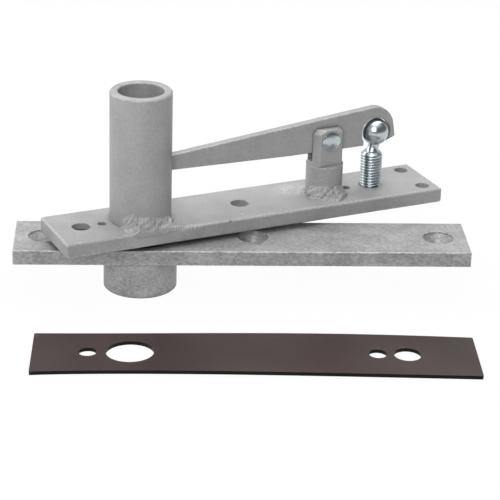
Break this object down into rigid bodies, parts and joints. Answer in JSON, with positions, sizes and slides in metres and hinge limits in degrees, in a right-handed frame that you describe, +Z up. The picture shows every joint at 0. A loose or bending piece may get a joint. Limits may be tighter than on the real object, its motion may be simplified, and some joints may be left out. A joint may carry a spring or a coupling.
{
  "type": "pivot hinge",
  "caption": "Retractable top pivot hinge for a door: a lever and ball screw on the frame plate raise the pin out of the door plate's cup; cover plate alongside.",
  "frame": {"origin": "on the pivot axis, at the foot of the door half's cup, level with the underside of the cover plate", "axes": "+Z up along the pivot axis; +X along the frame plate, from the pivot to the adjusting screw"},
  "size_m": [0.2058, 0.1651, 0.0861],
  "materials": {
    "frame_steel": "satin grey coating",
    "door_steel": "rough mill finish",
    "zinc": "bright zinc plated",
    "pin_steel": "ground",
    "bronze": "sintered bronze",
    "cover_finish": "dark bronze coating"
  },
  "bodies": {
    "frame_half": {"frame_plate": "frame_steel", "pivot_housing": "frame_steel", "housing_weld": "frame_steel", "lever_post": "frame_steel", "post_weld": "frame_steel", "fulcrum_pin": "zinc", "fulcrum_ring": "zinc", "cover_plate": "cover_finish"},
    "door_half": {"door_plate": "door_steel", "pivot_cup": "door_steel", "pivot_bushing": "bronze"},
    "lever": {"lever": "frame_steel"},
    "pin": {"pivot_pin": "pin_steel"},
    "screw": {"adjusting_screw": "zinc"}
  },
  "joints": [
    {"name": "door_swing", "type": "hinge", "parent": "frame_half", "child": "door_half", "pos_m": [0, 0, 0.02175], "axis": [0, 0, 1], "continuous": true},
    {"name": "lever_tilt", "type": "hinge", "parent": "frame_half", "child": "lever", "pos_m": [0.085, 0, 0.05431], "axis": [0, 1, 0], "range_deg": [0, 10]},
    {"name": "pin_lift", "type": "slide", "parent": "frame_half", "child": "pin", "axis": [0, 0, 1], "range_m": [0, 0.0149]},
    {"name": "screw_travel", "type": "slide", "parent": "frame_half", "child": "screw", "axis": [0, 0, 1], "range_m": [-0.0041, 0]}
  ],
  "couplings": [
    {"joint": "pin_lift", "follows": "lever_tilt", "m_per_rad": 0.0848},
    {"joint": "screw_travel", "follows": "lever_tilt", "m_per_rad": -0.0232}
  ]
}
